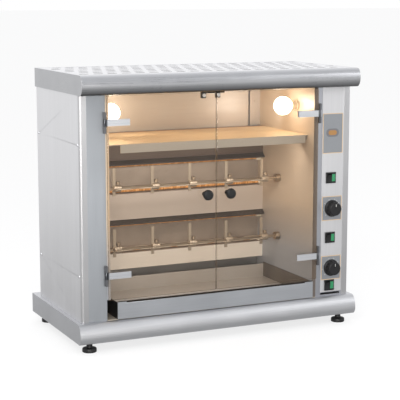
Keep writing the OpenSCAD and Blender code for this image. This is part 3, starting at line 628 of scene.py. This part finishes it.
def round_edges(node, radius):
    """Joins a CAD node's facets and rounds its sharp edges."""
    weld = nodes[node].modifiers.new("weld", "WELD")
    weld.merge_threshold = 0.01 * MM
    bevel_edges(nodes[node], radius * MM, 40)


# ---- Added pieces ----

def add_piece(name, bm, material, body="cabinet"):
    """Makes a mesh piece that rides on a body and takes one of the materials above."""
    bmesh.ops.recalc_face_normals(bm, faces=bm.faces)
    mesh = bpy.data.meshes.new(name)
    bm.to_mesh(mesh)
    bm.free()
    mesh.materials.append(MATERIALS[material])
    piece = bpy.data.objects.new(name, mesh)
    bpy.context.collection.objects.link(piece)
    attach(piece, body)
    return piece


def add_plate(bm, outline, front, back, hole=None):
    """Adds a flat plate that faces forwards: an outline in X and Z, with an optional hole that has
    as many points as the outline."""
    rings = [outline] if hole is None else [outline, hole]
    spans = [(i, (i + 1) % len(outline)) for i in range(len(outline))]
    sides = []
    for y in (front, back):
        loops = [[bm.verts.new((x, y, z)) for x, z in ring] for ring in rings]
        sides.append(loops)
        if hole is None:
            bm.faces.new(loops[0])
        else:
            for i, j in spans:
                bm.faces.new((loops[0][i], loops[0][j], loops[1][j], loops[1][i]))
    for near, far in zip(*sides):
        for i, j in spans:
            bm.faces.new((near[i], near[j], far[j], far[i]))


def rectangle(low_x, high_x, low_z, high_z, corner, steps=4):
    """A rectangle's outline with round corners."""
    points = []
    left, right, bottom, top = low_x + corner, high_x - corner, low_z + corner, high_z - corner
    for centre_x, centre_z, start in ((right, top, 0), (left, top, 90), (left, bottom, 180),
                                      (right, bottom, 270)):
        for i in range(steps + 1):
            angle = math.radians(start + 90 * i / steps)
            points.append((centre_x + corner * math.cos(angle), centre_z + corner * math.sin(angle)))
    return points


def grown(box, by):
    """A box of (low x, high x, low z, high z) grown on every side."""
    return box[0] - by, box[1] + by, box[2] - by, box[3] + by


def add_border(name, box, front):
    """A raised printed line just inside the edge of a plate."""
    line, proud, corner = 1.7 * MM, 0.25 * MM, 1.5 * MM
    bm = bmesh.new()
    add_plate(bm, rectangle(*box, corner), front - proud, front,
              hole=rectangle(*grown(box, -line), corner))
    bevel_edges(add_piece(name, bm, "tan_print"), 0.08 * MM, 35)


def add_badge():
    """A blank oval badge on a darker rounded field, near the middle of the nameplate."""
    low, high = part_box("nameplate")
    x, z = (low.x + high.x) / 2 - 1 * MM, (low.z + high.z) / 2 + 2 * MM
    for name, material, half_w, half_h, corner, proud in (
            ("badge_field", "dark_print", 21 * MM, 12 * MM, 11 * MM, 0.3 * MM),
            ("badge_oval", "badge_print", 14 * MM, 7 * MM, 6.9 * MM, 0.9 * MM)):
        bm = bmesh.new()
        outline = rectangle(x - half_w, x + half_w, z - half_h, z + half_h, corner, steps=8)
        add_plate(bm, outline, low.y - proud, low.y)
        bevel_edges(add_piece(name, bm, material), 0.2 * MM, 35)


def dial_centres():
    """The turning centre of each control knob, from its joint."""
    places = {j["name"]: Vector(j["pos_m"]) for j in frame["joints"] if "knob_turn" in j["name"]}
    return {"upper": places["upper_knob_turn"], "lower": places["lower_knob_turn"]}


def add_dials():
    """A border round each knob plate and a ring of plain marks round each knob."""
    marks, long_every, first_angle, sweep = 28, 4, 225, 270
    low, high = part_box("knob_plates")
    half_h = high.z - dial_centres()["upper"].z
    knob_r = (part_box("upper_knob")[1].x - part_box("upper_knob")[0].x) / 2
    for name, centre in dial_centres().items():
        add_border(name + "_dial_border", (low.x, high.x, centre.z - half_h, centre.z + half_h), low.y)
        bm = bmesh.new()
        for i in range(marks + 1):
            reach, half_w = (5 * MM, 0.45 * MM) if i % long_every == 0 else (3.4 * MM, 0.25 * MM)
            start, end = knob_r + 1.5 * MM, knob_r + reach
            turn = Matrix.Rotation(math.radians(first_angle - sweep * i / marks), 2)
            corners = ((start, -half_w), (end, -half_w), (end, half_w), (start, half_w))
            outline = [(centre.x + p.x, centre.z + p.y) for p in (turn @ Vector(c) for c in corners)]
            add_plate(bm, outline, low.y - 0.15 * MM, low.y)
        add_piece(name + "_dial_marks", bm, "white_print")


def add_pointers():
    """A white line let into the raised pointer of each control knob."""
    half_w, inner_end, outer_end = 0.6 * MM, 7 * MM, 15 * MM
    for name, centre in dial_centres().items():
        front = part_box(name + "_knob")[0].y
        bm = bmesh.new()
        outline = rectangle(centre.x - half_w, centre.x + half_w, centre.z + inner_end,
                            centre.z + outer_end, 0.5 * MM)
        add_plate(bm, outline, front - 0.2 * MM, front + 0.5 * MM)
        add_piece(name + "_knob_pointer", bm, "white_print", name + "_control_knob")


def add_recesses():
    """Cross recesses in the heads of the side panels' screws, as thin blocks in a dark colour: painted
    shade.
    """
    head_r, depth, sunk, slot_long, slot_wide = 4 * MM, 0.8 * MM, 0.36 * MM, 4 * MM, 0.8 * MM
    low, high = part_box("panel_screws")
    bm = bmesh.new()
    for x in (low.x + sunk, high.x - sunk):
        for y in (low.y + head_r, high.y - head_r):
            for z in (low.z + head_r, high.z - head_r):
                for size in ((depth, slot_long, slot_wide), (depth, slot_wide, slot_long)):
                    bar = bmesh.ops.create_cube(bm, size=1)["verts"]
                    place = Matrix.Translation((x, y, z)) @ Matrix.Diagonal((*size, 1))
                    bmesh.ops.transform(bm, matrix=place, verts=bar)
    add_piece("screw_recesses", bm, "recess")


def add_louvre(bm, left, right, low, front):
    """A pressed hood over one air slot: an arched strip, open below and closed at both ends."""
    height, depth, sheet, steps = 8 * MM, 4.5 * MM, 0.9 * MM, 6
    bottom = low - 1 * MM

    def arch(x, inset):
        """A quarter arch at one end of the hood, on its outside or a sheet's thickness inside it."""
        angles = [math.radians(90 * i / steps) for i in range(steps + 1)]
        reach, rise = depth - inset, height - inset
        return [bm.verts.new((x, front + reach * math.sin(a), bottom + rise * math.cos(a)))
                for a in angles]

    outer = arch(left, 0), arch(right, 0)
    inner = arch(left + sheet, sheet), arch(right - sheet, sheet)
    for i in range(steps):
        bm.faces.new((outer[0][i], outer[0][i + 1], outer[1][i + 1], outer[1][i]))
        bm.faces.new((inner[0][i], inner[1][i], inner[1][i + 1], inner[0][i + 1]))
        for side in (0, 1):
            bm.faces.new((outer[side][i], inner[side][i], inner[side][i + 1], outer[side][i + 1]))
    for i in (0, steps):
        bm.faces.new((outer[0][i], inner[0][i], inner[1][i], outer[1][i]))


# Rows of air slots in the back panel: middle, lowest slot, and number of slots
LOUVRES = {"left_louvres": (-250 * MM, 560 * MM, 8), "right_louvres": (250 * MM, 560 * MM, 8),
           "motor_louvres": (335 * MM, 190 * MM, 6)}
LOUVRE_PITCH = 15 * MM
LOUVRE_WIDTH = 120 * MM


def add_louvres():
    """Hoods over the air slots in the back panel."""
    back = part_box("back_panel")[1].y
    for name, (x, low, count) in LOUVRES.items():
        bm = bmesh.new()
        for i in range(count):
            add_louvre(bm, x - LOUVRE_WIDTH / 2, x + LOUVRE_WIDTH / 2, low + i * LOUVRE_PITCH, back)
        add_piece(name, bm, "case")


def dress_object():
    """Gives every CAD node its material and edges, and adds the small pieces."""
    for key, members in NODE_MATERIALS.items():
        for member in members:
            paint_node(member, MATERIALS[key])
    for radius, members in EDGE_RADII.items():
        for member in members:
            round_edges(member, radius)
    low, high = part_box("nameplate")
    add_border("nameplate_border", (low.x, high.x, low.z, high.z), low.y)
    add_badge()
    add_dials()
    add_pointers()
    add_recesses()
    add_louvres()


# ---- Camera, floor and light ----

CAMERA_AZIMUTH = math.radians(-24.75)
CAMERA_ELEVATION = math.radians(9.29)
CAMERA_DISTANCE = 3.7811
CAMERA_TARGET = Vector((0.0181, 0.0, 0.3688))
CAMERA_LENS = 115.06   # in millimetres, like the sensor
SENSOR_WIDTH = 36


def add_camera():
    """The camera: to the left of the oven's front and a little above it, aimed near its middle."""
    back = Vector((math.sin(CAMERA_AZIMUTH) * math.cos(CAMERA_ELEVATION),
                   -math.cos(CAMERA_AZIMUTH) * math.cos(CAMERA_ELEVATION),
                   math.sin(CAMERA_ELEVATION)))
    data = bpy.data.cameras.new("camera")
    data.lens = CAMERA_LENS
    data.sensor_width = SENSOR_WIDTH
    camera = bpy.data.objects.new("camera", data)
    camera.location = CAMERA_TARGET + back * CAMERA_DISTANCE
    camera.rotation_mode = "QUATERNION"
    camera.rotation_quaternion = (-back).to_track_quat("-Z", "Y")
    bpy.context.collection.objects.link(camera)
    bpy.context.scene.camera = camera


def add_softbox(name, place, target, size, power, colour=WHITE):
    """A rectangular area light that faces its target. size is in metres and power in watts."""
    data = bpy.data.lights.new(name, "AREA")
    data.shape = "RECTANGLE"
    data.size, data.size_y = size
    data.energy = power
    data.color = colour
    light = bpy.data.objects.new(name, data)
    light.location = place
    light.rotation_mode = "QUATERNION"
    light.rotation_quaternion = (Vector(target) - Vector(place)).to_track_quat("-Z", "Y")
    bpy.context.collection.objects.link(light)


def add_floor():
    """A very large white floor. Its reflection in the steel is darker near the object."""
    bm = bmesh.new()
    bmesh.ops.create_grid(bm, x_segments=1, y_segments=1, size=60)
    mesh = bpy.data.meshes.new("floor")
    bm.to_mesh(mesh)
    bm.free()
    floor = bpy.data.objects.new("floor", mesh)
    bpy.context.collection.objects.link(floor)
    paint = Paint("floor", (0.95, 0.95, 0.95), 0.9)
    glow_share = 0.72
    glow = paint.node("ShaderNodeEmission", {"Color": (*WHITE, 1), "Strength": 1.0}).outputs[0]
    matt = paint.surface.outputs[0]
    seen = paint.node("ShaderNodeMixShader", {0: glow_share, 1: matt, 2: glow}).outputs[0]
    distance = paint.node("ShaderNodeVectorMath", {0: paint.place}, operation="LENGTH").outputs["Value"]
    brightness = paint.ranged(distance, 0.5, 3.5, 0.50, 0.92)
    mirrored = paint.node("ShaderNodeEmission", {"Strength": brightness}).outputs[0]
    direct = paint.node("ShaderNodeLightPath").outputs["Is Camera Ray"]
    paint.shown(paint.node("ShaderNodeMixShader", {0: direct, 1: mirrored, 2: seen}).outputs[0])
    mesh.materials.append(paint.material)


def add_world():
    """Soft studio surround: white behind the object as seen, and dimmer in front for the reflections."""
    front_stop, back_stop = (0.15, (0.56, 0.565, 0.58, 1)), (0.75, (1.12, 1.12, 1.13, 1))
    world = bpy.data.worlds.new("studio")
    world.use_nodes = True
    tree = world.node_tree
    add, link = tree.nodes.new, tree.links.new
    surround = tree.nodes["Background"]
    split = add("ShaderNodeSeparateXYZ")
    link(add("ShaderNodeTexCoord").outputs["Generated"], split.inputs[0])
    depth = add("ShaderNodeMapRange")
    depth.inputs["From Min"].default_value = -1.0
    depth.inputs["From Max"].default_value = 1.0
    link(split.outputs["Y"], depth.inputs["Value"])
    ramp = add("ShaderNodeValToRGB")
    for stop, (place, colour) in zip(ramp.color_ramp.elements, (front_stop, back_stop)):
        stop.position = place
        stop.color = colour
    link(depth.outputs[0], ramp.inputs[0])
    link(ramp.outputs[0], surround.inputs[0])
    backdrop = add("ShaderNodeBackground")
    backdrop.inputs[0].default_value = (*WHITE, 1)
    mix = add("ShaderNodeMixShader")
    link(add("ShaderNodeLightPath").outputs["Is Camera Ray"], mix.inputs[0])
    link(surround.outputs[0], mix.inputs[1])
    link(backdrop.outputs[0], mix.inputs[2])
    link(mix.outputs[0], tree.nodes["World Output"].inputs[0])
    bpy.context.scene.world = world


def add_lights():
    """Three studio softboxes, a strip under the shelf for the light that the heaters give, a wash down
    onto the shelf, and a wash behind each lamp for its glow on the walls."""
    straw, cool = (1.0, 0.88, 0.70), (0.92, 0.97, 1.0)
    add_softbox("key", (-2.2, -2.6, 2.6), (0, 0, 0.4), (2.0, 2.0), 60)
    add_softbox("fill", (2.8, -2.0, 1.6), (0, 0, 0.4), (1.6, 1.6), 25)
    add_softbox("front", (-1.3, -3.4, 0.8), (0, 0, 0.35), (1.4, 1.4), 60, (1.0, 0.97, 0.93))
    low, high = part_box("warming_shelf")
    middle = (low.x + high.x) / 2
    add_softbox("heater_glow", (middle, low.y + 0.03, low.z - 0.01), (middle, high.y, 0.20),
                (0.58, 0.05), 0.65, (1.0, 0.95, 0.9))
    over_shelf = middle + 0.03
    add_softbox("shelf_wash", (over_shelf, -0.02, 0.69), (over_shelf, 0.0, low.z), (0.24, 0.06),
                0.15, straw)
    add_softbox("left_wash", (-0.17, 0.02, 0.63), (-0.17, 0.16, 0.635), (0.05, 0.05), 0.13, straw)
    add_softbox("right_wash", (0.25, 0.02, 0.63), (0.29, 0.16, 0.63), (0.05, 0.05), 0.07, cool)


add_camera()
add_floor()
add_world()
add_lights()
dress_object()
bpy.context.scene.view_settings.view_transform = "Standard"
